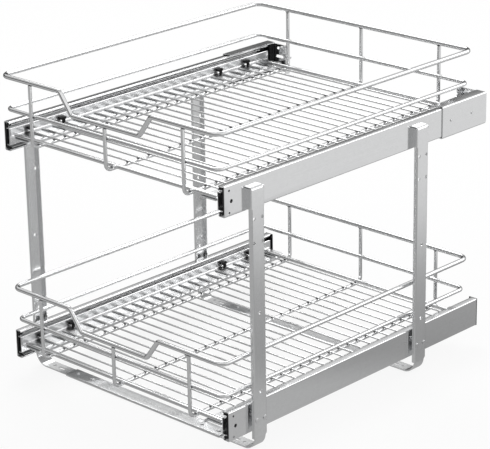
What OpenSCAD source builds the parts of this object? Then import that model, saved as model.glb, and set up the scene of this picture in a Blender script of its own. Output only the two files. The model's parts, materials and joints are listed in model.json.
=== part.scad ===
// Two-tier pull-out cabinet basket: two wire baskets on ball-bearing slides, one above the other,
// carried by four sheet posts on two floor bars. The origin is at the cabinet floor, midway
// between the four posts. The baskets pull out towards -Y, and X is the width.

/* [Overall] */
// Width over the outer faces of the slides
slide_span = 451; // [380:1:560]
// Height of the lower basket's rail, centre line, above the floor
lower_rail_z = 145.5; // [140:0.5:200]
// Distance from the lower basket up to the upper one
tier_pitch = 333; // [260:1:420]
// Distance between the front and the rear posts
post_spacing = 354; // [280:1:430]

/* [Baskets] */
// Depth of the top rail, centre line to centre line
basket_depth = 547; // [450:1:660]
// Distance from the top rail's front down to the front posts' middle
front_reach = 60; // [45:1:80]
// Gap between the top rail and the slide's outer face, seen from above
rail_inset = 3; // [1:0.5:12]
// Diameter of the top rail's wire
rail_d = 7; // [5:0.5:9]
// Corner radius of the top rail, centre line
rail_corner_r = 14; // [10:1:24]
// Diameter of the middle rail's wire
mid_d = 6; // [4:0.5:7]
// Distance from the top rail down to the middle rail
mid_drop = 51; // [44:1:60]
// Width of the dip in the front of the top rail, at its top
scoop_top_w = 186; // [140:1:240]
// Width of the dip at its bottom
scoop_bottom_w = 138; // [90:1:180]
// Depth of the dip
scoop_drop = 32; // [20:1:36]
// Bend radius at the dip, centre line
scoop_r = 7; // [5:0.5:9]
// Diameter of the bent wires that run under the floor and up the front and the back
hoop_d = 5.5; // [4:0.5:7]
// Bend radius of those wires, centre line
hoop_r = 9; // [7:0.5:12]
// Distance between the middle bent wire and each outer one
hoop_pitch = 155.5; // [120:0.5:165]
// How far the bent wires stand outside the top rail's centre line
hoop_proud = 1.5; // [0:0.5:3]
// Diameter of the thick floor wires at the front and the back
end_wire_d = 6; // [4:0.5:8]
// Distance from the top rail to the thick floor wires
end_wire_inset = 10.5; // [10:0.5:16]
// Diameter of the thin floor wires
cross_d = 2.8; // [2:0.1:4]
// Number of thin floor wires
cross_count = 25; // [10:1:30]
// Distance from the top rail to the first and the last thin wire
cross_inset = 19.5; // [18:0.5:40]
// Depth by which two wires sink into each other where they are welded
weld = 0.3; // [0.1:0.1:0.5]

/* [Slides] */
// Height of the outer member
slide_h = 45; // [42:1:54]
// Distance from the top rail down to the slide's middle
slide_drop = 94.5; // [88:0.5:110]
// How much longer the outer member is than the top rail is deep
slide_extra = 12; // [16:1:60]
// Distance from the top rail's front back to the outer member's front end
slide_setback = 5; // [0:1:20]
// Thickness of the outer member's sheet
outer_t = 1.2; // [1:0.1:1.5]
// Depth of the outer member, from its face to its lips' ends
outer_depth = 12; // [11:0.5:14]
// Thickness of the intermediate member's sheet
mid_t = 1.1; // [0.9:0.1:1.3]
// Thickness of the inner member's sheet
inner_t = 1.2; // [1:0.1:1.5]
// Diameter of the balls
ball_d = 2.8; // [2.6:0.1:3]
// Number of balls in one row
ball_count = 7; // [4:1:9]
// Length of a ball cage
cage_len = 254; // [200:1:270]
// Width of the ledge that carries the floor wires
ledge_w = 36; // [30:1:42]
// Bend radius of the ledge, inner side
ledge_r = 4; // [2:0.5:6]

/* [Posts and base] */
// Width of a post
post_w = 25.4; // [23:0.1:34]
// Thickness of the posts' sheet
post_t = 1.5; // [1:0.1:2]
// Depth of a post's side flanges
post_flange = 6; // [4:0.5:7]
// Distance from the slide's outer face out to the post's outer face
post_standoff = 9.5; // [8:0.5:14]
// Height of the posts' lower ends above the floor
post_foot_z = 20; // [12:1:24]
// Distance from the slide's top edge down to the post's cap
head_drop = 11.5; // [6:0.5:14]
// Height of the deep head at the top of a post
head_h = 31; // [26:1:40]
// Corner radius at the rear of a post's foot
post_foot_r = 9; // [4:1:11]
// Distance between the two screws of a pair
screw_pair = 16; // [14:0.5:17]
// Thickness of the floor brackets
bracket_t = 2; // [1.5:0.1:2.5]
// Inner bend radius of the floor brackets
bracket_r = 20; // [12:1:24]
// Distance from the lower slide's middle up to the top of the floor brackets' legs
bracket_rise = 17; // [12:1:22]
// Length of the cross bars between the floor brackets
bar_len = 326; // [240:1:340]
// Length of bar that lies over each floor bracket
bar_overlap = 58; // [45:1:80]
// Thickness of the cross bars' sheet
bar_t = 1.5; // [1:0.1:2]

/* [Rear brackets] */
// Thickness of the rear brackets' sheet
rear_t = 1.5; // [1:0.1:2]
// Clearance above and below the slide inside a rear bracket
rear_gap = 1; // [0.3:0.1:2]
// Distance from the slide's rear end forward to the bracket's front edge
rear_lap = 94; // [60:1:140]
// Distance from the slide's rear end back to the bracket's flange
rear_reach = 13; // [6:0.5:30]
// Width of the rear flange
rear_flange_w = 50; // [46:1:60]
// Depth of the lip at the flange's inner edge
rear_lip = 11; // [8:0.5:14]

/* [Fasteners and holes] */
// Radius of the screws' shanks
screw_r = 1.95; // [1.5:0.05:2.2]
// Radius of the screws' heads
screw_head_r = 3.5; // [3:0.1:4]
// Height of the outer screws' heads
screw_head_h = 1.2; // [0.8:0.1:2]
// Height of the flat heads inside the slides
flat_head_h = 0.9; // [0.5:0.1:1]
// Radial gap between a screw and its hole
screw_gap = 0.05; // [0.02:0.01:0.2]
// Width of the slots that take the floor screws
slot_w = 5; // [4:0.5:6]
// Length of those slots
slot_len = 14; // [8:0.5:18]
// Distance between the left and the right floor slots
slot_span = 372; // [360:1:386]
// Radius of the plain holes in the posts
hole_r = 2.5; // [1.5:0.1:3]

/* [Hidden] */
$fn = 64;
TIER_NODES = ["top_rail", "mid_rail", "hoop_left", "hoop_middle", "hoop_right", "end_wires",
    "cross_wires", "wire_clips", "ledge_left", "ledge_right", "inner_member_left",
    "inner_member_right", "bumpers", "intermediate_left", "intermediate_right",
    "outer_cages", "outer_balls", "inner_cages", "inner_balls", "outer_member_left",
    "outer_member_right"];

// Places
face_x = slide_span / 2;
upper_rail_z = lower_rail_z + tier_pitch;
front_post_y = -post_spacing / 2;
rear_post_y = post_spacing / 2;
post_ys = [front_post_y, rear_post_y];
rail_front_y = front_post_y - front_reach;
rail_rear_y = rail_front_y + basket_depth;
rail_x = face_x - rail_inset - rail_d / 2;
slide_front_y = rail_front_y + slide_setback;
slide_len = basket_depth + slide_extra;
slide_rear_y = slide_front_y + slide_len;
upper_slide_z = upper_rail_z - slide_drop;
lower_slide_z = lower_rail_z - slide_drop;

// Section of the slide. Distances u run inwards from the outer face, and v up from the middle.
running = 0.3;
sheet_gap = 0.4;
slide_r = 0.8;
race = ball_d + 2 * running;
cage_t = 0.5;
cage_r = 0.4;
outer_curl = 3;
mid_h = slide_h - 2 * outer_t - 2 * race;
inner_h = mid_h - 2 * mid_t - 2 * race;
outer_cage_u = outer_t + flat_head_h + sheet_gap;
mid_u = outer_cage_u + cage_t + sheet_gap;
mid_lip_u = outer_depth - sheet_gap;
inner_cage_u = mid_u + mid_t + sheet_gap;
inner_lip_u = inner_cage_u + cage_t + 2 * sheet_gap;
inner_face_u = outer_depth + 0.7;
outer_ball_v = mid_h / 2 + race / 2;
inner_ball_v = inner_h / 2 + race / 2;
outer_cage_lip_u = outer_depth - outer_t - sheet_gap;
inner_cage_lip_u = inner_face_u - inner_t - sheet_gap;
ball_hole_r = ball_d / 2 + running;
hole_edge = 0.6;
outer_ball_u = outer_cage_lip_u - ball_hole_r - hole_edge;
inner_ball_u = inner_cage_lip_u - ball_hole_r - hole_edge;
cage_margin = 10;
ball_pitch = (cage_len - 2 * cage_margin) / (ball_count - 1);

// Ends of the members, from front to back
end_stop = 10;
end_gap = 0.5;
stop_plate = 2;
stop_depth = outer_depth + 3;
front_bumper_len = 3;
rear_bumper_len = 9;
mid_front_y = slide_front_y + end_gap + front_bumper_len;
mid_rear_y = slide_rear_y - end_stop - end_gap - rear_bumper_len;
inner_front_y = slide_front_y - 1;
inner_rear_y = slide_rear_y - 2;
cage_front_y = slide_front_y + (slide_len - cage_len) / 2 - 9.5;
bumper_lap = 1.2;
bumper_t = mid_t + bumper_lap + running;

// Floor of a basket, measured down from its top rail
ledge_t = 1.2;
ledge_edge_r = 3;
ledge_top_v = -0.6;
ledge_top_drop = slide_drop - ledge_top_v;
ledge_leg_v = inner_h / 2 - 1;
ledge_lip = 6;
ledge_front_y = inner_front_y + 1;
ledge_rear_y = inner_rear_y - 5;
ledge_leg_x = face_x - inner_face_u - ledge_t;
cross_drop = ledge_top_drop - cross_d / 2;
hoop_drop = cross_drop + cross_d / 2 + hoop_d / 2 - weld;
end_wire_drop = hoop_drop - hoop_d / 2 - end_wire_d / 2 + weld;
wire_end_x = ledge_leg_x - ledge_r - 0.2;
cross_pitch = (basket_depth - 2 * cross_inset) / (cross_count - 1);
hoop_front_y = rail_front_y - hoop_proud;
hoop_rear_y = rail_rear_y + hoop_proud;
mid_offset = (hoop_d + mid_d) / 2 - weld;
mid_front_rail_y = hoop_front_y + mid_offset;
mid_rear_rail_y = hoop_rear_y - mid_offset;
mid_x = rail_x - mid_front_rail_y + rail_front_y;
mid_corner_r = rail_corner_r - mid_front_rail_y + rail_front_y;
end_wire_ys = [rail_front_y + end_wire_inset, rail_rear_y - end_wire_inset];

// Clips over the ends of the floor wires
clip_wires = [1, 4, cross_count - 5, cross_count - 2];
clip_w = 10;
clip_h = 9.6;
clip_head_h = 3.6;
clip_stem_w = cross_d + 1.5;
clip_stem_len = 3.5;
clip_head_len = 6;

// Posts and base
sheet_r = 0.6;
post_x = face_x + post_standoff;
post_in_x = post_x - post_t;
leg_in_x = post_in_x - bracket_t;
head_top_z = upper_slide_z + slide_h / 2 - head_drop;
head_extra = 0.8;
head_w = post_w + 2 * head_extra;
cap_r = 4;
cap_gap = 0.2;
cap_w = head_w - 2 * post_t - 2 * sheet_r;
cap_z = head_top_z - post_t - cap_r;
bracket_w = post_w - 2 * post_t - 2 * sheet_r - 0.1;
bar_side_gap = 0.3;
bar_w = bracket_w + 2 * bar_side_gap + 2 * bar_t;
bar_h = bracket_t + bar_t;
bar_end_x = bar_len / 2;
bracket_end_x = bar_end_x - bar_overlap;
bar_screw_xs = [bar_end_x - 12, bracket_end_x + 12];
bracket_leg_z = lower_slide_z + bracket_rise;
post_screw_z = lower_slide_z - 3;
screw_ys = [-screw_pair / 2, screw_pair / 2];
pair_hole_zs = [head_top_z - 45, head_top_z - 80.5];
single_hole_zs = [head_top_z - 185, post_screw_z + 43];
boss_r = 5;
pilot_x = slot_span / 2 + 16;
post_shank = post_t + bracket_t + 0.5;
slide_shank = outer_t + 4.5;
rear_shank = outer_t + rear_t + 1;
hole_fit_r = screw_r + screw_gap;
front_holes = [[9, 14.5, 1.6], [13, -1, 2.8], [9, -17.2, 1.6]];

// Rear brackets
rear_r = 1;
rear_front_y = slide_rear_y - rear_lap;
rear_y = slide_rear_y + rear_reach;
rear_h = slide_h + 2 * rear_gap + 2 * rear_t;
rear_flap_h = rear_h - 2 * rear_t - 2 * rear_r;
rear_arm = 18;
rear_web_x = face_x + rear_t / 2;
rear_lip_x = face_x + rear_t - rear_flange_w + rear_t / 2;
rear_slot_x = rear_lip_x + 21;
rear_slot_v = 2;
rear_slot_len = 16;
rear_holes = [[rear_slot_x + 3.5, 16, 2.5], [rear_slot_x - 5, 19.5, 1.4], [rear_slot_x + 3, -10, 2.5]];
rear_screw_ys = [rear_front_y + 20, rear_front_y + 70];
stub_v = 6;
stub_back = 6;
stub_len = 8;

// Degrees by which a bend laps onto the rod after it, so that the two join into one solid
bend_lap = 0.001;

function unit(v) = v / norm(v);
function bend_angle(a, b, c) = acos(unit(b - a) * unit(c - b));
function setback(a, b, c, r) = r * tan(bend_angle(a, b, c) / 2);
function side_way(into, out) = unit(out - (out * into) * into);

// A straight rod between two points
module rod(p, q, d) {
    v = q - p;
    translate(p) rotate([0, acos(v.z / norm(v)), atan2(v.y, v.x)]) cylinder(h = norm(v), d = d);
}

// The bend at point b of a wire that comes from a and goes on to c
module wire_bend(a, b, c, r, d) {
    into = unit(b - a);
    side = side_way(into, unit(c - b));
    axis = cross(-side, into);
    centre = b - into * setback(a, b, c, r) + side * r;
    multmatrix([for (i = [0:2]) [-side[i], into[i], axis[i], centre[i]]])
        rotate_extrude(angle = bend_angle(a, b, c) + bend_lap) translate([r, 0]) circle(d = d);
}

// A wire through the points, bent at each with its own radius. A first radius of 0 is an open end.
module bent_wire(points, radii, d) {
    n = len(points);
    open = radii[0] == 0;
    function at(i) = points[(i + n) % n];
    function r_at(i) = radii[(i + n) % n];
    function cut(i) = r_at(i) == 0 ? 0 : setback(at(i - 1), at(i), at(i + 1), r_at(i));
    for (i = [0:(open ? n - 2 : n - 1)]) {
        way = unit(at(i + 1) - at(i));
        rod(at(i) + way * cut(i), at(i + 1) - way * cut(i + 1), d);
    }
    for (i = [0:n - 1]) if (r_at(i) > 0) wire_bend(at(i - 1), at(i), at(i + 1), r_at(i), d);
}

// The bend of a sheet at point b, as long as run along Z
module sheet_bend(a, b, c, t, r, run) {
    into = unit(b - a);
    out = unit(c - b);
    side = side_way(into, out);
    left_turn = into.x * out.y > into.y * out.x;
    centre = b - into * setback(a, b, c, r + t / 2) + side * (r + t / 2);
    multmatrix([[-side.x, into.x, 0, centre.x], [-side.y, into.y, 0, centre.y],
        [0, 0, left_turn ? 1 : -1, left_turn ? 0 : run], [0, 0, 0, 1]])
        rotate_extrude(angle = bend_angle(a, b, c)) translate([r, 0]) square([t, run]);
}

// A bent sheet whose middle runs through the points, as long as run along Z
module folded(points, t, radii, run) {
    n = len(points);
    function cut(i) = i == 0 || i == n - 1 ? 0
        : setback(points[i - 1], points[i], points[i + 1], radii[i] + t / 2);
    for (i = [0:n - 2]) {
        way = unit(points[i + 1] - points[i]);
        start = points[i] + way * cut(i);
        flat = norm(points[i + 1] - points[i]) - cut(i) - cut(i + 1);
        translate([start.x, start.y, 0]) rotate(atan2(way.y, way.x))
            translate([0, -t / 2, 0]) cube([flat, t, run]);
    }
    for (i = [1:n - 2]) sheet_bend(points[i - 1], points[i], points[i + 1], t, radii[i], run);
}

// A channel section: web along v at distance u, lips out to lip_u, as tall as h
module channel(u, lip_u, h, t, r, run) {
    v = (h - t) / 2;
    folded([[lip_u, v], [u, v], [u, -v], [lip_u, -v]], t, [0, r, r, 0], run);
}

module on_left() {
    mirror([1, 0, 0]) children();
}

module both_sides() {
    children();
    on_left() children();
}

// Puts a section drawn in u and v onto the right slide, with its length running back from y
module along_slide(y, z) {
    translate([face_x, y, z]) rotate([90, 0, 180]) children();
}

// A rod along X that starts at the point and runs inwards
module inward(x, y, z, r, h) {
    translate([x, y, z]) rotate([0, -90, 0]) cylinder(h = h, r = r);
}

module outward(x, y, z, r, h) {
    translate([x, y, z]) rotate([0, 90, 0]) cylinder(h = h, r = r);
}

// Wires of a basket
module top_rail(z) {
    x = rail_x;
    dip = z - scoop_drop;
    color("Gainsboro") bent_wire([[-x, rail_rear_y, z], [-x, rail_front_y, z],
        [-scoop_top_w / 2, rail_front_y, z], [-scoop_bottom_w / 2, rail_front_y, dip],
        [scoop_bottom_w / 2, rail_front_y, dip], [scoop_top_w / 2, rail_front_y, z],
        [x, rail_front_y, z], [x, rail_rear_y, z]],
        [rail_corner_r, rail_corner_r, scoop_r, scoop_r, scoop_r, scoop_r, rail_corner_r,
        rail_corner_r], rail_d);
}

module mid_rail(z) {
    r = mid_corner_r;
    color("Gainsboro") translate([0, 0, z - mid_drop])
        bent_wire([[-mid_x, mid_rear_rail_y, 0], [-mid_x, mid_front_rail_y, 0],
            [mid_x, mid_front_rail_y, 0], [mid_x, mid_rear_rail_y, 0]], [r, r, r, r], mid_d);
}

module hoop(x, z) {
    top = z - rail_d / 2 + weld;
    dip_top = abs(x) < scoop_bottom_w / 2 ? top - scoop_drop : top;
    low = z - hoop_drop;
    color("Gainsboro") bent_wire([[x, hoop_front_y, dip_top], [x, hoop_front_y, low],
        [x, hoop_rear_y, low], [x, hoop_rear_y, top]], [0, hoop_r, hoop_r, 0], hoop_d);
}

module end_wires(z) {
    color("Gainsboro") for (y = end_wire_ys)
        rod([-wire_end_x, y, z - end_wire_drop], [wire_end_x, y, z - end_wire_drop], end_wire_d);
}

function cross_y(i) = rail_front_y + cross_inset + i * cross_pitch;

module cross_wires(z) {
    color("Gainsboro") for (i = [0:cross_count - 1])
        rod([-wire_end_x, cross_y(i), z - cross_drop], [wire_end_x, cross_y(i), z - cross_drop], cross_d);
}

// Black plastic clips, each a broad head on a narrow stem, with the end of a floor wire in the stem
module wire_clips(z) {
    floor_z = z - ledge_top_drop;
    head_x = ledge_leg_x - running;
    color("DimGray") both_sides() for (i = clip_wires) difference() {
        union() {
            translate([head_x - clip_head_len, cross_y(i) - clip_w / 2, floor_z + clip_h - clip_head_h])
                cube([clip_head_len, clip_w, clip_head_h]);
            translate([wire_end_x - clip_stem_len, cross_y(i) - clip_stem_w / 2, floor_z])
                cube([clip_stem_len, clip_stem_w, clip_h - clip_head_h]);
        }
        outward(wire_end_x - clip_stem_len - 1, cross_y(i), z - cross_drop, cross_d / 2 + screw_gap,
            clip_stem_len + 2);
    }
}

// Slides
module ledge(z) {
    u = inner_face_u + ledge_t / 2;
    v = ledge_top_v - ledge_t / 2;
    edge_u = inner_face_u + ledge_w;
    color("Silver") along_slide(ledge_front_y, z)
        folded([[u, ledge_leg_v], [u, v], [edge_u, v], [edge_u, v - ledge_lip]], ledge_t,
            [0, ledge_r, ledge_edge_r, 0], ledge_rear_y - ledge_front_y);
}

module inner_member(z) {
    color("Silver") along_slide(inner_front_y, z)
        channel(inner_face_u - inner_t / 2, inner_lip_u, inner_h, inner_t, slide_r,
            inner_rear_y - inner_front_y);
}

// A black plastic bumper of the intermediate's section, a little thicker than its sheet
module bumper(y, z, len) {
    along_slide(y, z) channel(outer_cage_u + bumper_t / 2, mid_lip_u - running,
        mid_h + 2 * bumper_lap, bumper_t, running, len);
}

// Bumpers on both ends of the intermediate members
module bumpers(z) {
    color("DimGray") both_sides() {
        bumper(mid_front_y - front_bumper_len, z, front_bumper_len);
        bumper(mid_rear_y, z, rear_bumper_len);
    }
}

module intermediate(z) {
    color("Silver") along_slide(mid_front_y, z)
        channel(mid_u + mid_t / 2, mid_lip_u, mid_h, mid_t, slide_r, mid_rear_y - mid_front_y);
}

module cage(u, lip_u, ball_u, ball_v, z) {
    color("Silver") along_slide(cage_front_y, z) difference() {
        channel(u + cage_t / 2, lip_u, 2 * ball_v + cage_t, cage_t, cage_r, cage_len);
        for (i = [0:ball_count - 1]) translate([ball_u, 0, cage_margin + i * ball_pitch])
            rotate([90, 0, 0]) cylinder(h = slide_h, r = ball_hole_r, center = true);
    }
}

module balls(ball_u, ball_v, z) {
    color("LightSlateGray") both_sides() along_slide(cage_front_y + cage_margin, z)
        for (i = [0:ball_count - 1], side = [-1, 1])
            translate([ball_u, side * ball_v, i * ball_pitch]) sphere(d = ball_d);
}

module outer_cages(z) {
    both_sides() cage(outer_cage_u, outer_cage_lip_u, outer_ball_u, outer_ball_v, z);
}

module inner_cages(z) {
    both_sides() cage(inner_cage_u, inner_cage_lip_u, inner_ball_u, inner_ball_v, z);
}

module outer_member(z, screw_places) {
    v = (slide_h - outer_t) / 2;
    u = outer_t / 2;
    lip_u = outer_depth - outer_t / 2;
    curl_v = slide_h / 2 - outer_curl;
    color("Silver") difference() {
        along_slide(slide_front_y, z)
            folded([[lip_u, curl_v], [lip_u, v], [u, v], [u, -v], [lip_u, -v], [lip_u, -curl_v]],
                outer_t, [0, slide_r, slide_r, slide_r, slide_r, 0], slide_len);
        for (y = screw_places) inward(face_x + 1, y, z, hole_fit_r, outer_t + 2);
        for (hole = front_holes)
            inward(face_x + 1, slide_front_y + hole[0], z + hole[1], hole[2], outer_t + 2);
    }
}

module upper_outer_member() {
    outer_member(upper_slide_z, concat(post_ys, rear_screw_ys));
}

module lower_outer_member() {
    outer_member(lower_slide_z, post_ys);
}

// A black stop in the rear end of an outer member: a plug inside it and a plate across its end
module rear_stop(z, plate_u, plate_t) {
    plug_v = slide_h / 2 - outer_t - slide_r - running;
    plug_u = outer_t + slide_r;
    along_slide(slide_rear_y - end_stop, z) {
        translate([plug_u, -plug_v, 0]) cube([inner_lip_u - running - plug_u, 2 * plug_v, end_stop + 1]);
        translate([plate_u, -slide_h / 2, end_stop]) cube([stop_depth - plate_u, slide_h, plate_t]);
    }
}

module rear_stops() {
    color("DimGray") both_sides() {
        rear_stop(upper_slide_z, rear_r, rear_reach - rear_t - running);
        rear_stop(lower_slide_z, 0, stop_plate);
    }
}

// Posts and base
module post_section(y, w, depth, bottom, top) {
    side_y = (w - post_t) / 2;
    x = post_x - post_t / 2;
    translate([0, y, bottom])
        folded([[post_x - depth, -side_y], [x, -side_y], [x, side_y], [post_x - depth, side_y]], post_t,
            [0, sheet_r, sheet_r, 0], top - bottom);
}

module post(y) {
    head_z = head_top_z - head_h;
    far_y = y + post_w / 2;
    color("Silver") difference() {
        union() {
            post_section(y, post_w, post_flange, post_foot_z, head_z);
            difference() {
                post_section(y, head_w, post_standoff, head_z, head_top_z - post_t - cap_gap);
                translate([post_in_x - cap_r, y - cap_w / 2 - cap_gap, cap_z])
                    cube([post_t + cap_r + 1, cap_w + 2 * cap_gap, head_h]);
            }
            translate([0, y + cap_w / 2, 0]) rotate([90, 0, 0])
                folded([[post_x - post_t / 2, cap_z - 1], [post_x - post_t / 2, head_top_z - post_t / 2],
                    [face_x, head_top_z - post_t / 2]], post_t, [0, cap_r, 0], cap_w);
            translate([post_x - post_flange, y - head_w / 2 + post_t, head_z])
                cube([post_flange - post_t, head_w - 2 * post_t, post_t]);
            inward(post_in_x, y, upper_slide_z, boss_r, post_in_x - face_x);
        }
        inward(post_in_x - 1.5, y, upper_slide_z, hole_fit_r, post_standoff);
        for (side = screw_ys) {
            inward(post_x + 1, y + side, post_screw_z, hole_fit_r, post_t + 2);
            for (z = pair_hole_zs) inward(post_x + 1, y + side, z, hole_r, post_t + 2);
        }
        for (z = single_hole_zs) inward(post_x + 1, y, z, hole_r, post_t + 2);
        difference() {
            translate([post_x - post_flange - 1, far_y - post_foot_r, post_foot_z - 1])
                cube([post_flange + 2, post_foot_r + 1, post_foot_r + 1]);
            inward(post_x + 2, far_y - post_foot_r, post_foot_z + post_foot_r, post_foot_r,
                post_flange + 4);
        }
    }
}

module base_bracket(y) {
    mid_x = post_in_x - bracket_t / 2;
    color("Silver") difference() {
        union() {
            translate([0, y + bracket_w / 2, 0]) rotate([90, 0, 0])
                folded([[bracket_end_x, bracket_t / 2], [mid_x, bracket_t / 2], [mid_x, bracket_leg_z]],
                    bracket_t, [0, bracket_r, 0], bracket_w);
            inward(leg_in_x, y, lower_slide_z, boss_r, leg_in_x - face_x);
        }
        inward(post_in_x + 1, y, lower_slide_z, hole_fit_r, post_standoff + 1);
        for (side = screw_ys) inward(post_in_x + 1, y + side, post_screw_z, hole_fit_r, bracket_t + 2);
        for (x = bar_screw_xs) translate([x, y, -1]) cylinder(h = bracket_t + 2, r = hole_fit_r);
        translate([pilot_x, y, -1]) cylinder(h = bracket_t + 2, r = hole_r);
        for (side = [-1, 1]) translate([slot_span / 2 + side * (slot_len - slot_w) / 2, y, -1])
            cylinder(h = bracket_t + 2, d = slot_w);
        translate([slot_span / 2 - (slot_len - slot_w) / 2, y - slot_w / 2, -1])
            cube([slot_len - slot_w, slot_w, bracket_t + 2]);
    }
}

module base_bar(y) {
    side_y = (bar_w - bar_t) / 2;
    top_z = bar_h - bar_t / 2;
    color("Silver") difference() {
        translate([-bar_end_x, y, 0]) rotate([90, 0, 90])
            folded([[-side_y, 0], [-side_y, top_z], [side_y, top_z], [side_y, 0]], bar_t,
                [0, bar_side_gap, bar_side_gap, 0], bar_len);
        for (side = [-1, 1], x = bar_screw_xs)
            translate([side * x, y, 0]) cylinder(h = bar_h + 1, r = hole_fit_r);
    }
}

// Screws through the posts into the brackets, and through the bars into the brackets
module base_screws() {
    color("DarkGray") both_sides() for (y = post_ys) {
        for (side = screw_ys) {
            outward(post_x, y + side, post_screw_z, screw_head_r, screw_head_h);
            inward(post_x, y + side, post_screw_z, screw_r, post_shank);
        }
        for (x = bar_screw_xs) {
            translate([x, y, bar_h]) cylinder(h = screw_head_h, r = screw_head_r);
            translate([x, y, 0.3]) cylinder(h = bar_h - 0.3, r = screw_r);
        }
    }
}

module slide_screw(y, z, shank) {
    inward(face_x - outer_t, y, z, screw_head_r, flat_head_h);
    outward(face_x - outer_t, y, z, screw_r, shank);
}

// Flat-headed screws from inside the outer members into the posts, the brackets and the rear brackets
module slide_screws() {
    color("DarkGray") both_sides() {
        for (y = post_ys, z = [upper_slide_z, lower_slide_z]) slide_screw(y, z, slide_shank);
        for (y = rear_screw_ys) slide_screw(y, upper_slide_z, rear_shank);
    }
}

// Rear brackets of the upper basket
module rear_bracket() {
    z = upper_slide_z;
    arm_z = (rear_h - rear_t) / 2;
    arm_x = face_x + rear_t - rear_arm;
    lap = rear_y - rear_front_y - rear_t - rear_r;
    color("Silver") difference() {
        union() {
            translate([0, rear_front_y + lap, z]) rotate([90, 0, 0])
                folded([[arm_x, arm_z], [rear_web_x, arm_z], [rear_web_x, -arm_z], [arm_x, -arm_z]],
                    rear_t, [0, rear_r, rear_r, 0], lap);
            translate([0, 0, z - rear_flap_h / 2])
                folded([[rear_web_x, rear_y - rear_t - rear_r - 10], [rear_web_x, rear_y - rear_t / 2],
                    [rear_lip_x, rear_y - rear_t / 2], [rear_lip_x, rear_y - rear_lip]], rear_t,
                    [0, rear_r, rear_r, 0], rear_flap_h);
        }
        for (y = rear_screw_ys) inward(face_x + rear_t + 1, y, z, hole_fit_r, rear_t + 2);
        for (hole = rear_holes) translate([hole[0], rear_y + 1, z + hole[1]]) rotate([90, 0, 0])
            cylinder(h = rear_t + 2, r = hole[2]);
        for (side = [-1, 1])
            translate([rear_slot_x + side * (rear_slot_len - slot_w) / 2, rear_y + 1, z + rear_slot_v])
                rotate([90, 0, 0]) cylinder(h = rear_t + 2, d = slot_w);
        translate([rear_slot_x - (rear_slot_len - slot_w) / 2, rear_y - rear_t - 1,
            z + rear_slot_v - slot_w / 2]) cube([rear_slot_len - slot_w, rear_t + 2, slot_w]);
        inward(rear_lip_x + rear_t, rear_y - stub_back, z + stub_v, hole_fit_r, 2 * rear_t);
    }
}

// Short screws through the lips of the rear brackets
module stub_screws() {
    in_x = rear_lip_x - rear_t / 2;
    y = rear_y - stub_back;
    z = upper_slide_z + stub_v;
    color("DarkGray") both_sides() {
        outward(in_x + rear_t, y, z, screw_head_r - 0.5, screw_head_h);
        inward(in_x + rear_t, y, z, screw_r, stub_len);
    }
}

top_rail(upper_rail_z);  // upper_top_rail
mid_rail(upper_rail_z);  // upper_mid_rail
hoop(-hoop_pitch, upper_rail_z);  // upper_hoop_left
hoop(0, upper_rail_z);  // upper_hoop_middle
hoop(hoop_pitch, upper_rail_z);  // upper_hoop_right
end_wires(upper_rail_z);  // upper_end_wires
cross_wires(upper_rail_z);  // upper_cross_wires
wire_clips(upper_rail_z);  // upper_wire_clips
on_left() ledge(upper_slide_z);  // upper_ledge_left
ledge(upper_slide_z);  // upper_ledge_right
on_left() inner_member(upper_slide_z);  // upper_inner_member_left
inner_member(upper_slide_z);  // upper_inner_member_right
bumpers(upper_slide_z);  // upper_bumpers
on_left() intermediate(upper_slide_z);  // upper_intermediate_left
intermediate(upper_slide_z);  // upper_intermediate_right
outer_cages(upper_slide_z);  // upper_outer_cages
balls(outer_ball_u, outer_ball_v, upper_slide_z);  // upper_outer_balls
inner_cages(upper_slide_z);  // upper_inner_cages
balls(inner_ball_u, inner_ball_v, upper_slide_z);  // upper_inner_balls
on_left() upper_outer_member();  // upper_outer_member_left
upper_outer_member();  // upper_outer_member_right
top_rail(lower_rail_z);  // lower_top_rail
mid_rail(lower_rail_z);  // lower_mid_rail
hoop(-hoop_pitch, lower_rail_z);  // lower_hoop_left
hoop(0, lower_rail_z);  // lower_hoop_middle
hoop(hoop_pitch, lower_rail_z);  // lower_hoop_right
end_wires(lower_rail_z);  // lower_end_wires
cross_wires(lower_rail_z);  // lower_cross_wires
wire_clips(lower_rail_z);  // lower_wire_clips
on_left() ledge(lower_slide_z);  // lower_ledge_left
ledge(lower_slide_z);  // lower_ledge_right
on_left() inner_member(lower_slide_z);  // lower_inner_member_left
inner_member(lower_slide_z);  // lower_inner_member_right
bumpers(lower_slide_z);  // lower_bumpers
on_left() intermediate(lower_slide_z);  // lower_intermediate_left
intermediate(lower_slide_z);  // lower_intermediate_right
outer_cages(lower_slide_z);  // lower_outer_cages
balls(outer_ball_u, outer_ball_v, lower_slide_z);  // lower_outer_balls
inner_cages(lower_slide_z);  // lower_inner_cages
balls(inner_ball_u, inner_ball_v, lower_slide_z);  // lower_inner_balls
on_left() lower_outer_member();  // lower_outer_member_left
lower_outer_member();  // lower_outer_member_right
base_bar(front_post_y);  // base_bar_front
base_bar(rear_post_y);  // base_bar_rear
on_left() base_bracket(front_post_y);  // base_bracket_front_left
base_bracket(front_post_y);  // base_bracket_front_right
on_left() base_bracket(rear_post_y);  // base_bracket_rear_left
base_bracket(rear_post_y);  // base_bracket_rear_right
on_left() post(front_post_y);  // post_front_left
post(front_post_y);  // post_front_right
on_left() post(rear_post_y);  // post_rear_left
post(rear_post_y);  // post_rear_right
base_screws();
slide_screws();
on_left() rear_bracket();  // rear_bracket_left
rear_bracket();  // rear_bracket_right
stub_screws();
rear_stops();
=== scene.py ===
import json
import math

import bmesh
import bpy
import numpy as np
from mathutils import Matrix, Vector


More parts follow.
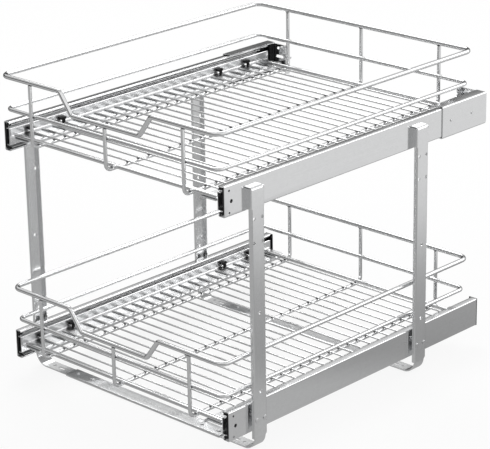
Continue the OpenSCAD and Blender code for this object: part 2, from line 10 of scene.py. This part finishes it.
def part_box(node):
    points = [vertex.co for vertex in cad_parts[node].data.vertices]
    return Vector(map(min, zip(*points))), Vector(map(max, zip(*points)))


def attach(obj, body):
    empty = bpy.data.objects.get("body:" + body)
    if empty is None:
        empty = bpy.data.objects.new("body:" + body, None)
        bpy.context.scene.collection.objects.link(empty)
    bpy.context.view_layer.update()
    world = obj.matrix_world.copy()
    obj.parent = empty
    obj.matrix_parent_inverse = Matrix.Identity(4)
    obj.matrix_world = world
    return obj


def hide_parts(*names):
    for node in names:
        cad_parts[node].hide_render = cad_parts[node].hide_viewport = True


# Two-tier pull-out wire basket. The CAD frame gives every place, and this script gives the looks.
# Lengths are in metres and angles in degrees. X goes to the right, -Y to the front and Z up.

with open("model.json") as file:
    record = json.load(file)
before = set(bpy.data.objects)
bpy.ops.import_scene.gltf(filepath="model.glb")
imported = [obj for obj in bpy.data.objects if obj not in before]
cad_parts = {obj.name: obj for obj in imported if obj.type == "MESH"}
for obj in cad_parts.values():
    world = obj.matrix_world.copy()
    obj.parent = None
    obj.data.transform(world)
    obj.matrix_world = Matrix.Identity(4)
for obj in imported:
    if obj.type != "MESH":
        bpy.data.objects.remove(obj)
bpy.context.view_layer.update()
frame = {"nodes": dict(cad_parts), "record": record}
upWay, widthWay = (0, 0, 1), (1, 0, 0)
print("frame loaded,", len(frame["nodes"]), "nodes")


wireShape = {"arcSteps": 9, "endSteps": 4, "endCut": 0.28, "crease": 50}  # endCut is a share of the radius


def unit(v):
    # Each vector divided by its own length
    return v / np.linalg.norm(v, axis=-1, keepdims=True)


def bentPath(corners, bends):
    # Straight runs between the corners, and at each corner an arc that is tangent to both runs. The arc
    # starts bend x tan(turn / 2) before the corner, and its points are
    # start + bend x (sin(angle) x incoming way + (1 - cos(angle)) x way to the side).
    # A bend of 0 keeps the corner itself, as at both ends of an open path.
    corners = np.array(corners, float)
    count = len(corners)
    path = []
    for i in range(count):
        here = corners[i]
        if bends[i] == 0:
            path.append(here[None])
            continue
        inWay = unit(here - corners[i - 1])
        outWay = unit(corners[(i + 1) % count] - here)
        turn = math.acos(float(np.clip(inWay @ outWay, -1, 1)))
        side = unit(outWay - (outWay @ inWay) * inWay)
        start = here - inWay * bends[i] * math.tan(turn / 2)
        angle = np.linspace(0, turn, wireShape["arcSteps"])[:, None]
        path.append(start + bends[i] * (np.sin(angle) * inWay + (1 - np.cos(angle)) * side))
    return np.concatenate(path)


def pathWays(path, closed):
    # At each point, the mean direction of the runs on its two sides
    if closed:
        ahead, behind = np.roll(path, -1, 0) - path, path - np.roll(path, 1, 0)
    else:
        ahead = np.diff(path, axis=0, append=2 * path[-1:] - path[-2:-1])
        behind = np.diff(path, axis=0, prepend=2 * path[:1] - path[1:2])
    return unit(unit(ahead) + unit(behind))


def tubeGrid(path, radius, planeNormal, closed, sides):
    # A circle carried along the path, square to it:
    # point = path + radius x (cos(angle) x way across + sin(angle) x way up)
    way = pathWays(path, closed)
    across = unit(np.cross(way, np.asarray(planeNormal, float)))
    up = np.cross(across, way)
    angle = np.arange(sides) * 2 * math.pi / sides
    radius = np.broadcast_to(np.asarray(radius, float), (len(path),))[:, None, None]
    ring = np.cos(angle)[None, :, None] * across[:, None] + np.sin(angle)[None, :, None] * up[:, None]
    return path[:, None] + radius * ring


def gridFaces(rows, sides, closed, first=0):
    # Quads between neighbouring rings, with the ring's end joined to its start. Point number =
    # first + row x sides + column, and a closed tube's last row joins its first.
    row = np.arange(rows if closed else rows - 1)[:, None]
    col = np.arange(sides)[None]
    nextRow, nextCol = (row + 1) % rows, (col + 1) % sides
    here, beyond = row * sides, nextRow * sides
    quads = np.stack([here + col, here + nextCol, beyond + nextCol, beyond + col], -1)
    return quads.reshape(-1, 4) + first


def roundEnds(path, radius):
    # Adds short steps at both ends of a rod, where the cut wire's edge is rounded over: a ring at
    # cut x (1 - sin(angle)) from the end is thinner by cut x (1 - cos(angle))
    cut = radius * wireShape["endCut"]
    way = unit(path[1] - path[0])
    wayEnd = unit(path[-1] - path[-2])
    angle = np.linspace(0, math.pi / 2, wireShape["endSteps"])
    inset = cut * (1 - np.sin(angle))
    drop = cut * (1 - np.cos(angle))
    head = path[0] + inset[::-1][:, None] * way
    tail = path[-1] - inset[:, None] * wayEnd
    radii = np.concatenate([radius - drop[::-1], np.full(len(path) - 2, radius), radius - drop])
    return np.concatenate([head, path[1:-1], tail]), radii


def addObject(name, data):
    # An object at the origin for the given mesh, lamp or camera
    thing = bpy.data.objects.new(name, data)
    bpy.context.scene.collection.objects.link(thing)
    return thing


def makeMesh(name, verts, quads, caps=()):
    # The grid's points with its quads and flat caps, smooth apart from folds sharper than the crease
    mesh = bpy.data.meshes.new(name)
    mesh.from_pydata(verts.tolist(), [], quads.tolist() + [cap.tolist() for cap in caps])
    mesh.validate()
    mesh.shade_smooth()
    mesh.set_sharp_from_angle(angle=math.radians(wireShape["crease"]))
    return addObject(name, mesh)


def turnOutward(mesh, mergeGap=0.0):
    # Points closer than the gap become one, and then all faces are turned to point outwards
    work = bmesh.new()
    work.from_mesh(mesh)
    if mergeGap:
        bmesh.ops.remove_doubles(work, verts=work.verts, dist=mergeGap)
    bmesh.ops.recalc_face_normals(work, faces=work.faces)
    work.to_mesh(mesh)
    work.free()


def wirePiece(name, paths, wire, planeNormal, closed):
    # One tube round each path, all in one piece. An open wire gets rounded ends and flat caps.
    sides = wire["sides"]
    verts, quads, caps, first = [], [], [], 0
    for path in paths:
        radius = wire["radius"]
        if not closed:
            path, radius = roundEnds(path, radius)
            last = first + (len(path) - 1) * sides
            caps.append(np.arange(first, first + sides)[::-1])
            caps.append(np.arange(last, last + sides))
        verts.append(tubeGrid(path, radius, planeNormal, closed, sides).reshape(-1, 3))
        quads.append(gridFaces(len(path), sides, closed, first))
        first += len(path) * sides
    thing = makeMesh(name, np.concatenate(verts), np.concatenate(quads), caps)
    turnOutward(thing.data)
    return thing


def weldBeads(name, places, bead):
    # Squashed balls at the crossings:
    # point = place + size x (sin(tilt) cos(turn), sin(tilt) sin(turn), cos(tilt))
    rings, sides = bead["rings"], bead["sides"]
    tilt = np.linspace(0, math.pi, rings)[:, None]
    turn = np.arange(sides)[None] * 2 * math.pi / sides
    ball = np.stack([np.sin(tilt) * np.cos(turn), np.sin(tilt) * np.sin(turn), np.cos(tilt) + 0 * turn], -1)
    verts = np.array(places, float)[:, None, None] + np.array(bead["size"]) * ball
    first = np.arange(len(places))[:, None, None] * rings * sides
    quads = gridFaces(rings, sides, False)[None] + first
    thing = makeMesh(name, verts.reshape(-1, 3), quads.reshape(-1, 4))
    turnOutward(thing.data, bead["poleGap"])
    return thing


sheetShape = {"mergeGap": 2e-6, "flatAngle": 0.6, "crease": 32, "edgeSteps": 2}


def roundedCopy(node, width):
    # A copy of a CAD piece: its points merged, its triangles joined where they turn by less than the
    # flat angle, and its edges rounded over by the width where they turn by more than the crease
    mesh = frame["nodes"][node].data.copy()
    work = bmesh.new()
    work.from_mesh(mesh)
    bmesh.ops.remove_doubles(work, verts=work.verts, dist=sheetShape["mergeGap"])
    bmesh.ops.dissolve_limit(work, angle_limit=math.radians(sheetShape["flatAngle"]),
                             verts=work.verts, edges=work.edges)
    work.to_mesh(mesh)
    work.free()
    mesh.name = node + "_shaped"
    thing = addObject(node + "_shaped", mesh)
    mesh.shade_smooth()
    mesh.set_sharp_from_angle(angle=math.radians(sheetShape["crease"]))
    bevel = thing.modifiers.new("edges", "BEVEL")
    bevel.width = width
    bevel.segments = sheetShape["edgeSteps"]
    bevel.limit_method = "ANGLE"
    bevel.angle_limit = math.radians(sheetShape["crease"])
    bevel.use_clamp_overlap = True
    bevel.harden_normals = True
    return thing


def fit(thing, body, slot, finish, *nodes):
    # Gives a piece its finish and body, and hides the CAD nodes that it stands for. The slot is not used.
    thing.data.materials.clear()
    thing.data.materials.append(finish)
    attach(thing, body)
    if nodes:
        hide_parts(*nodes)


def feed(tree, node, values):
    # Each named input takes a link from another node's output, or a plain value
    for label, value in values.items():
        if isinstance(value, bpy.types.NodeSocket):
            tree.links.new(value, node.inputs[label])
        else:
            node.inputs[label].default_value = value
    return node


def mathNode(tree, operation, first, second):
    # The operation on two numbers, each a link or a plain value
    node = tree.nodes.new("ShaderNodeMath")
    node.operation = operation
    return feed(tree, node, {0: first, 1: second}).outputs[0]


def noiseNode(tree, where, scale, detail):
    # Cloudy noise from 0 to 1 over the given coordinates
    node = tree.nodes.new("ShaderNodeTexNoise")
    return feed(tree, node, {"Vector": where, "Scale": scale, "Detail": detail}).outputs[0]


def weighted(tree, first, second, share):
    # first x (1 - share) + second x share
    return mathNode(tree, "ADD", mathNode(tree, "MULTIPLY", first, 1 - share),
                    mathNode(tree, "MULTIPLY", second, share))


def between(tree, low, high, share):
    # low + share x (high - low)
    span = mathNode(tree, "SUBTRACT", high, low)
    return mathNode(tree, "ADD", mathNode(tree, "MULTIPLY", share, span), low)


def newGroup(name, inputs):
    # An effect with the named inputs at their first values, and three outputs that vary over the surface
    tree = bpy.data.node_groups.new(name, "ShaderNodeTree")
    for label, value in inputs.items():
        kind = "NodeSocketVector" if isinstance(value, tuple) else "NodeSocketFloat"
        socket = tree.interface.new_socket(name=label, in_out="INPUT", socket_type=kind)
        socket.default_value = value
    for label in ("Roughness", "Shade", "Height"):
        tree.interface.new_socket(name=label, in_out="OUTPUT", socket_type="NodeSocketFloat")
    return tree, tree.nodes.new("NodeGroupInput"), tree.nodes.new("NodeGroupOutput")


plating = {"inputs": {"Patch Scale": 60.0, "Ripple Scale": 900.0, "Low": 0.08, "High": 0.2}, "detail": 3}


def platingGroup():
    # Plated wire: slow patches of haze, and fine ripples in the plate.
    # Roughness = low + patches x (high - low), Shade = patches, Height = ripples.
    tree, source, sink = newGroup("platingHaze", plating["inputs"])
    where = tree.nodes.new("ShaderNodeTexCoord").outputs["Object"]
    patch = noiseNode(tree, where, source.outputs["Patch Scale"], plating["detail"])
    ripple = noiseNode(tree, where, source.outputs["Ripple Scale"], plating["detail"])
    haze = between(tree, source.outputs["Low"], source.outputs["High"], patch)
    feed(tree, sink, {"Roughness": haze, "Shade": patch, "Height": ripple})
    return tree


rolling = {"inputs": {"Stretch": (500.0, 5.0, 500.0), "Mottle Scale": 220.0, "Low": 0.2, "High": 0.34},
           "lineDetail": 4, "slowScale": 14, "slowDetail": 2, "slowShare": 0.4, "mottleShare": 0.25}


def rolledGroup():
    # Rolled strip: long fine lines along one axis over slow patches, and a crystal mottle of zinc.
    # Roughness = low + (lines and slow patches by their shares) x (high - low),
    # Shade = lines and mottle by their shares, Height = lines.
    tree, source, sink = newGroup("rolledStrip", rolling["inputs"])
    where = tree.nodes.new("ShaderNodeTexCoord").outputs["Object"]
    stretched = tree.nodes.new("ShaderNodeVectorMath")
    stretched.operation = "MULTIPLY"
    feed(tree, stretched, {0: where, 1: source.outputs["Stretch"]})
    lines = noiseNode(tree, stretched.outputs[0], 1, rolling["lineDetail"])
    slow = noiseNode(tree, where, rolling["slowScale"], rolling["slowDetail"])
    crystals = feed(tree, tree.nodes.new("ShaderNodeTexVoronoi"),
                    {"Vector": where, "Scale": source.outputs["Mottle Scale"]})
    mottle = feed(tree, tree.nodes.new("ShaderNodeSeparateColor"), {0: crystals.outputs["Color"]})
    wear = weighted(tree, lines, slow, rolling["slowShare"])
    feed(tree, sink, {"Roughness": between(tree, source.outputs["Low"], source.outputs["High"], wear),
                      "Shade": weighted(tree, lines, mottle.outputs[0], rolling["mottleShare"]),
                      "Height": lines})
    return tree


platingHaze = platingGroup()
rolledStrip = rolledGroup()
print("effects made")


def makeFinish(name, look):
    # Colour = dark + Shade x (pale - dark). The effect's Roughness goes straight in, its Height makes a
    # bump of the given strength and distance, and what is the same all over is on the shader's sockets.
    finish = bpy.data.materials.new(name)
    finish.use_nodes = True
    tree = finish.node_tree
    effect = tree.nodes.new("ShaderNodeGroup")
    effect.node_tree = look["effect"]
    feed(tree, effect, look["inputs"])
    tone = tree.nodes.new("ShaderNodeMix")
    tone.data_type = "RGBA"
    feed(tree, tone, {"A": (*look["dark"], 1), "B": (*look["pale"], 1), "Factor": effect.outputs["Shade"]})
    strength, distance = look["bump"]
    bump = feed(tree, tree.nodes.new("ShaderNodeBump"),
                {"Strength": strength, "Distance": distance, "Height": effect.outputs["Height"]})
    shader = tree.nodes["Principled BSDF"]
    feed(tree, shader, {"Base Color": tone.outputs["Result"], "Roughness": effect.outputs["Roughness"],
                        "Normal": bump.outputs["Normal"]})
    feed(tree, shader, look["shader"])
    return finish


# How the rolling lines are stretched: long in the direction with the small number
alongDepth, alongHeight, alongWidth = (600.0, 4.0, 600.0), (600.0, 600.0, 4.0), (4.0, 600.0, 600.0)
allWays = (300.0, 300.0, 300.0)  # an even grain
looks = {
    "wireChrome": {"effect": platingHaze, "inputs": {"Low": 0.07, "High": 0.16},
                   "dark": (0.82, 0.825, 0.83), "pale": (0.92, 0.925, 0.93), "bump": (0.35, 0.000006),
                   "shader": {"Metallic": 1, "Specular Tint": (0.35, 0.35, 0.35, 1)}},
    # Weld beads coloured near black: painted shade where the wires cross and touch
    "weldPaintedShade": {"effect": platingHaze, "inputs": {"Low": 0.32, "High": 0.5, "Patch Scale": 400.0},
                   "dark": (0.06, 0.06, 0.062), "pale": (0.16, 0.16, 0.165), "bump": (0.35, 0.00006),
                   "shader": {"Metallic": 1}},
    "slideZinc": {"effect": rolledStrip, "inputs": {"Stretch": alongDepth, "Low": 0.1, "High": 0.17},
                  "dark": (0.79, 0.795, 0.8), "pale": (0.87, 0.875, 0.88), "bump": (0.35, 0.00001),
                  "shader": {"Metallic": 1, "Anisotropic": 0.3}},
    "ledgeZinc": {"effect": rolledStrip, "inputs": {"Stretch": alongDepth, "Low": 0.26, "High": 0.34},
                  "dark": (0.76, 0.765, 0.77), "pale": (0.84, 0.845, 0.85), "bump": (0.35, 0.00001),
                  "shader": {"Metallic": 1}},
    # Paler than the slide's zinc: painted light that lifts the shade in the well between the members
    "innerZinc": {"effect": rolledStrip, "inputs": {"Stretch": alongDepth, "Low": 0.4, "High": 0.52},
                  "dark": (0.82, 0.825, 0.83), "pale": (0.9, 0.905, 0.91), "bump": (0.35, 0.00001),
                  "shader": {"Metallic": 1}},
    "postNickel": {"effect": rolledStrip, "inputs": {"Stretch": alongHeight, "Low": 0.2, "High": 0.3},
                   "dark": (0.78, 0.785, 0.79), "pale": (0.87, 0.875, 0.88), "bump": (0.35, 0.00002),
                   "shader": {"Metallic": 1}},
    "barNickel": {"effect": rolledStrip, "inputs": {"Stretch": alongWidth, "Low": 0.1, "High": 0.2},
                  "dark": (0.78, 0.785, 0.79), "pale": (0.9, 0.905, 0.91), "bump": (0.35, 0.000006),
                  "shader": {"Metallic": 1}},
    "screwZinc": {"effect": rolledStrip, "inputs": {"Stretch": allWays, "Low": 0.2, "High": 0.35},
                  "dark": (0.72, 0.725, 0.73), "pale": (0.86, 0.865, 0.87), "bump": (0.35, 0.00001),
                  "shader": {"Metallic": 1}},
    "ballSteel": {"effect": platingHaze, "inputs": {"Low": 0.05, "High": 0.12},
                  "dark": (0.7, 0.7, 0.71), "pale": (0.8, 0.8, 0.81), "bump": (0.35, 0.000005),
                  "shader": {"Metallic": 1}},
    # Paler than the slide's zinc: painted light that lifts the shade in the well between the members
    "cageZinc": {"effect": rolledStrip, "inputs": {"Stretch": alongDepth, "Low": 0.36, "High": 0.5},
                 "dark": (0.8, 0.8, 0.81), "pale": (0.92, 0.92, 0.93), "bump": (0.35, 0.00002),
                 "shader": {"Metallic": 1}},
    # Moulded plastic, where the finer ripples make a spark-eroded grain
    "clipPlastic": {"effect": platingHaze,
                    "inputs": {"Low": 0.5, "High": 0.66, "Patch Scale": 160.0, "Ripple Scale": 2600.0},
                    "dark": (0.006, 0.006, 0.0065), "pale": (0.012, 0.012, 0.013), "bump": (0.4, 0.00008),
                    "shader": {"Specular IOR Level": 0.3}}}
finishes = {name: makeFinish(name, look) for name, look in looks.items()}
print("finishes made")


def centreLines(box, radius):
    # Left, right, front and back of a wire's centre line, which runs one radius inside the box
    low, high = box
    return low.x + radius, high.x - radius, low.y + radius, high.y - radius


topRail = {"radius": 0.0035, "corner": 0.014, "dipTop": 0.186, "dipBottom": 0.138, "dipDrop": 0.032,
           "dipBend": 0.007, "sides": 28}


def topRailPath(box, z):
    # A rounded rectangle at height z, whose front slants down to the dip from half the dip's top width
    # to half its bottom width on each side of the middle
    left, right, front, back = centreLines(box, topRail["radius"])
    top, bottom = topRail["dipTop"] / 2, topRail["dipBottom"] / 2
    dip = z - topRail["dipDrop"]
    corners = [(left, back, z), (left, front, z), (-top, front, z), (-bottom, front, dip),
               (bottom, front, dip), (top, front, z), (right, front, z), (right, back, z)]
    bends = [topRail["corner"]] * 2 + [topRail["dipBend"]] * 4 + [topRail["corner"]] * 2
    return bentPath(corners, bends)


midRail = {"radius": 0.003, "sides": 24}


def midRailPath(box, topBox):
    # A rounded rectangle half way up its box. Its bends are tighter than the top rail's by as much as
    # it lies inside that rail.
    left, right, front, back = centreLines(box, midRail["radius"])
    z = (box[0].z + box[1].z) / 2
    inside = front - centreLines(topBox, topRail["radius"])[2]
    corners = [(left, back, z), (left, front, z), (right, front, z), (right, back, z)]
    return bentPath(corners, [topRail["corner"] - inside] * 4)


hoop = {"radius": 0.00275, "bend": 0.009, "xs": {"left": -0.1555, "middle": 0.0, "right": 0.1555},
        "lap": 0.0003, "sides": 22}  # lap is how far the front end goes into the top rail


def hoopPath(box, x, frontTop):
    # Down the front from the given height, back along the floor, and up to the top of the box
    front, back = centreLines(box, hoop["radius"])[2:]
    floorZ, backTop = box[0].z + hoop["radius"], box[1].z
    corners = [(x, front, frontTop), (x, front, floorZ), (x, back, floorZ), (x, back, backTop)]
    return bentPath(corners, [0, hoop["bend"], hoop["bend"], 0])


endWire = {"radius": 0.003, "count": 2, "sides": 24}
crossWire = {"radius": 0.0014, "count": 25, "sides": 16}


def rodPaths(box, rod):
    # Straight rods from the box's left side to its right, evenly spaced from front to back
    low, high = box
    front, back = centreLines(box, rod["radius"])[2:]
    z = (low.z + high.z) / 2
    return [np.array([(low.x, y, z), (0, y, z), (high.x, y, z)])
            for y in np.linspace(front, back, rod["count"])]


# The beads are larger than the welds need to be, so that their dark colour shows as painted shade at the
# crossings.
# The beads at a hoop's ends lie by the inset nearer the basket's middle than its centre line does, and
# the others sink a little way into the hoop
railBead = {"size": (0.0036, 0.0026, 0.0022), "inset": 0.001, "sink": 0.0002, "rings": 7, "sides": 12,
            "poleGap": 1e-7}
floorBead = {"size": (0.0026, 0.0031, 0.0014), "sink": 0.0001, "rings": 7, "sides": 12, "poleGap": 1e-7}


def addWire(tier, node, paths, wire, planeNormal, closed):
    # Chromed wire that rides on the tier's basket, in place of the CAD node
    thing = wirePiece(f"{tier}_{node}_wire", paths, wire, planeNormal, closed)
    fit(thing, tier + "_basket", "wire", finishes["wireChrome"], f"{tier}_{node}")


def addBeads(tier, name, places, bead):
    # Beads of weld that ride on the tier's basket, coloured near black as painted shade where the wires
    # cross
    fit(weldBeads(f"{tier}_{name}", places, bead), tier + "_basket", "wire", finishes["weldPaintedShade"])


tiers = {"upper": 0.4785, "lower": 0.1455}  # height of each top rail's centre line
for tier, z in tiers.items():
    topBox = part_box(tier + "_top_rail")
    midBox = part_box(tier + "_mid_rail")
    midZ = (midBox[0].z + midBox[1].z) / 2
    addWire(tier, "top_rail", [topRailPath(topBox, z)], topRail, upWay, True)
    addWire(tier, "mid_rail", [midRailPath(midBox, topBox)], midRail, upWay, True)

    r = hoop["radius"]
    railPlaces = []
    for side, x in hoop["xs"].items():
        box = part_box(f"{tier}_hoop_{side}")
        front, back = centreLines(box, r)[2:]
        frontTop = z - topRail["radius"] + hoop["lap"]
        if side == "middle":
            frontTop -= topRail["dipDrop"]
        addWire(tier, "hoop_" + side, [hoopPath(box, x, frontTop)], hoop, widthWay, False)
        inset, reach = railBead["inset"], r - railBead["sink"]
        railPlaces += [(x, front + inset, frontTop), (x, back - inset, box[1].z)]
        railPlaces += [(x, front + reach, midZ), (x, back - reach, midZ)]
    addBeads(tier, "rail_weld_painted_shade", railPlaces, railBead)

    hoopTop = box[0].z + 2 * r  # top of the hoops' runs under the floor wires
    ends = rodPaths(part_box(tier + "_end_wires"), endWire)
    crosses = rodPaths(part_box(tier + "_cross_wires"), crossWire)
    addWire(tier, "end_wires", ends, endWire, upWay, False)
    addWire(tier, "cross_wires", crosses, crossWire, upWay, False)
    xs, lower = hoop["xs"].values(), hoopTop - floorBead["sink"]
    floorPlaces = [(x, rod[0][1], hoopTop) for x in xs for rod in ends]
    floorPlaces += [(x, rod[0][1], lower) for x in xs for rod in crosses]
    addBeads(tier, "floor_weld_painted_shade", floorPlaces, floorBead)
print("wires made")


# For each kind of CAD node, its finish and how wide its edges are rounded over. Kinds with no edge
# keep the CAD shape.
sheetPieces = {"outer_member": {"finish": "slideZinc", "edge": 0.00035},
               "intermediate": {"finish": "innerZinc", "edge": 0.0003},
               "inner_member": {"finish": "slideZinc", "edge": 0.00035},
               "ledge_": {"finish": "ledgeZinc", "edge": 0.00035},
               "post_": {"finish": "postNickel", "edge": 0.0004},
               "base_bracket": {"finish": "barNickel", "edge": 0.0005},
               "base_bar": {"finish": "barNickel", "edge": 0.0004},
               "rear_bracket": {"finish": "slideZinc", "edge": 0.0004},
               "wire_clips": {"finish": "clipPlastic", "edge": 0.0006},
               "bumpers": {"finish": "clipPlastic", "edge": 0.0004},
               "rear_stops": {"finish": "clipPlastic", "edge": 0.0006},
               "base_screws": {"finish": "screwZinc", "edge": 0.0004},
               "slide_screws": {"finish": "screwZinc", "edge": 0.0002},
               "stub_screws": {"finish": "screwZinc", "edge": 0.0003},
               "cages": {"finish": "cageZinc"},
               "balls": {"finish": "ballSteel"}}
bodyOf = {node: body for body, nodes in frame["record"]["behaviour"]["bodies"].items() for node in nodes}
slotOf = {row["node"]: row["material_slot"] for row in frame["record"]["subparts"]}

for node, thing in frame["nodes"].items():
    if thing.hide_render:  # a wire piece stands for it already
        continue
    piece = next(piece for kind, piece in sheetPieces.items() if kind in node)
    finish = finishes[piece["finish"]]
    if "edge" in piece:
        fit(roundedCopy(node, piece["edge"]), bodyOf[node], slotOf[node], finish, node)
    else:
        thing.data.materials.clear()
        thing.data.materials.append(finish)
print("sheet pieces made")


def towards(tree, coordinate, row):
    # How far the place or direction lies along the row's way, as a share of its span, read off an
    # eased row of tones: share = (place . way - span's start) / (span's end - span's start)
    along = tree.nodes.new("ShaderNodeVectorMath")
    along.operation = "DOT_PRODUCT"
    feed(tree, along, {0: tree.nodes.new("ShaderNodeTexCoord").outputs[coordinate], 1: row["way"]})
    start, end = row["span"]
    share = feed(tree, tree.nodes.new("ShaderNodeMapRange"),
                 {"From Min": start, "From Max": end, "Value": along.outputs["Value"]})
    ramp = tree.nodes.new("ShaderNodeValToRGB")
    ramp.color_ramp.interpolation = "EASE"
    for place, tone in row["stops"][1:-1]:
        ramp.color_ramp.elements.new(place)
    for element, (place, tone) in zip(ramp.color_ramp.elements, row["stops"]):
        element.position = place
        element.color = (tone, tone, tone, 1)
    return feed(tree, ramp, {0: share.outputs[0]}).outputs[0]


paper = {"half": 30, "drop": 0.0002, "tone": 0.94, "cameraGlow": 0.88, "mirrorGlow": 0.9,
         # The glow's tone along the floor for mirrored rays: painted shadow of the basket, darkest near it
         "glow": {"way": (0.78, 0.625, 0.0), "span": (-0.3, 1.1),
                  "stops": ((0.0, 0.4), (0.2, 0.38), (0.3, 0.46), (0.38, 0.44), (0.5, 0.29), (0.66, 0.32),
                            (1.0, 0.75))}}


def addFloor():
    # A pale floor that glows for the camera, so that it is white but keeps a soft shadow. Metal and
    # glass see the glow too, with painted shade in its tone: dark near the basket and pale far off to
    # the back right, so that the metal shows the basket's shadow and a bright floor beyond it:
    # share of glow = the larger of camera ray x camera glow and mirrored ray x mirror glow, and
    # strength of glow = the larger of camera ray and tone.
    half, z = paper["half"], -paper["drop"]
    mesh = bpy.data.meshes.new("studioFloor")
    mesh.from_pydata([(-half, -half, z), (half, -half, z), (half, half, z), (-half, half, z)], [],
                     [(0, 1, 2, 3)])
    floor = addObject("studioFloor", mesh)
    finish = bpy.data.materials.new("floorPaper")
    finish.use_nodes = True
    tree = finish.node_tree
    tree.nodes.clear()
    ray = tree.nodes.new("ShaderNodeLightPath").outputs
    tone = towards(tree, "Object", paper["glow"])
    mirrored = mathNode(tree, "MAXIMUM", ray["Is Glossy Ray"], ray["Is Transmission Ray"])
    share = mathNode(tree, "MAXIMUM", mathNode(tree, "MULTIPLY", ray["Is Camera Ray"], paper["cameraGlow"]),
                     mathNode(tree, "MULTIPLY", mirrored, paper["mirrorGlow"]))
    matt = feed(tree, tree.nodes.new("ShaderNodeBsdfDiffuse"), {"Color": (paper["tone"],) * 3 + (1,)})
    glow = feed(tree, tree.nodes.new("ShaderNodeEmission"),
                {"Strength": mathNode(tree, "MAXIMUM", ray["Is Camera Ray"], tone)})
    mix = feed(tree, tree.nodes.new("ShaderNodeMixShader"),
               {0: share, 1: matt.outputs[0], 2: glow.outputs[0]})
    feed(tree, tree.nodes.new("ShaderNodeOutputMaterial"), {"Surface": mix.outputs[0]})
    mesh.materials.append(finish)


sky = {"above": {"way": (0.0, 0.0, 1.0), "span": (0.0, 1.0),
                 "stops": ((0.0, 0.12), (0.3, 0.13), (0.38, 0.62), (0.46, 0.86), (0.78, 0.86), (0.9, 0.5),
                           (1.0, 0.42))},
       "panel": {"way": (0.69, 0.72, 0.0), "span": (0.2, 0.85), "stops": ((0.0, 0.0), (1.0, 0.86))},
       "front": {"way": (-0.71, -0.7, 0.0), "span": (0.4, 0.65), "stops": ((0.0, 1.0), (1.0, 0.64))}}


def addSky():
    # White to the camera. The basket sees a sky that is dark low down, white higher up and grey
    # overhead, and darker in front at the left, with a white panel behind at the right:
    # strength = the largest of camera ray, above x front, and panel.
    world = bpy.data.worlds.new("studioSky")
    bpy.context.scene.world = world
    world.use_nodes = True
    tree = world.node_tree
    tree.nodes.clear()
    above, panel, front = (towards(tree, "Generated", sky[row]) for row in ("above", "panel", "front"))
    tone = mathNode(tree, "MAXIMUM", mathNode(tree, "MULTIPLY", above, front), panel)
    ray = tree.nodes.new("ShaderNodeLightPath").outputs
    strength = mathNode(tree, "MAXIMUM", ray["Is Camera Ray"], tone)
    back = feed(tree, tree.nodes.new("ShaderNodeBackground"), {"Color": (1, 1, 1, 1), "Strength": strength})
    feed(tree, tree.nodes.new("ShaderNodeOutputWorld"), {"Surface": back.outputs[0]})


lamps = {"softKey": {"place": (-1.6, 1.4, 2.6), "aim": (0, 0, 0.25), "size": (1.6, 1.6), "power": 33,
                     "mirrored": True},
         "softFill": {"place": (-1.4, -2.4, 1.8), "aim": (0, 0, 0.25), "size": (1.2, 1.2), "power": 8,
                      "mirrored": False},
         "softBack": {"place": (1.6, 2.4, 1.6), "aim": (0, 0, 0.2), "size": (2.0, 0.8), "power": 15,
                      "mirrored": True}}


def addLamp(name, lamp):
    # A soft panel of light whose back axis points from its aim to its place. Metal mirrors it or not.
    light = bpy.data.lights.new(name, "AREA")
    light.shape = "RECTANGLE"
    light.size, light.size_y = lamp["size"]
    light.energy = lamp["power"]
    thing = addObject(name, light)
    thing.location = lamp["place"]
    thing.rotation_euler = (Vector(lamp["aim"]) - Vector(lamp["place"])).to_track_quat("-Z", "Y").to_euler()
    thing.visible_glossy = lamp["mirrored"]


shot = {"eye": (2.127157, -2.175326, 1.355522), "azimuth": 43.814, "elevation": 20.248, "roll": -0.959,
        "focal": 158.378, "sensor": 36, "near": 0.05, "far": 60}  # focal and sensor are in millimetres


def addCamera():
    # Back from the view = (sin a cos e, -cos a cos e, sin e) for azimuth a and elevation e. The sideways
    # axis is square to it and level, and the roll turns that axis and the top one about it.
    a, e, roll = (math.radians(shot[key]) for key in ("azimuth", "elevation", "roll"))
    back = Vector((math.sin(a) * math.cos(e), -math.cos(a) * math.cos(e), math.sin(e)))
    right = Vector(upWay).cross(back).normalized()
    up = back.cross(right)
    side = right * math.cos(roll) + up * math.sin(roll)
    top = up * math.cos(roll) - right * math.sin(roll)
    lens = bpy.data.cameras.new("shotCamera")
    lens.lens = shot["focal"]
    lens.sensor_width = shot["sensor"]
    lens.clip_start, lens.clip_end = shot["near"], shot["far"]
    camera = addObject("shotCamera", lens)
    turn = Matrix((side, top, back)).transposed().to_4x4()
    camera.matrix_world = Matrix.Translation(shot["eye"]) @ turn
    bpy.context.scene.camera = camera


addFloor()
addSky()
for name, lamp in lamps.items():
    addLamp(name, lamp)
addCamera()
bpy.context.scene.view_settings.view_transform = "Standard"

print("studio ready")
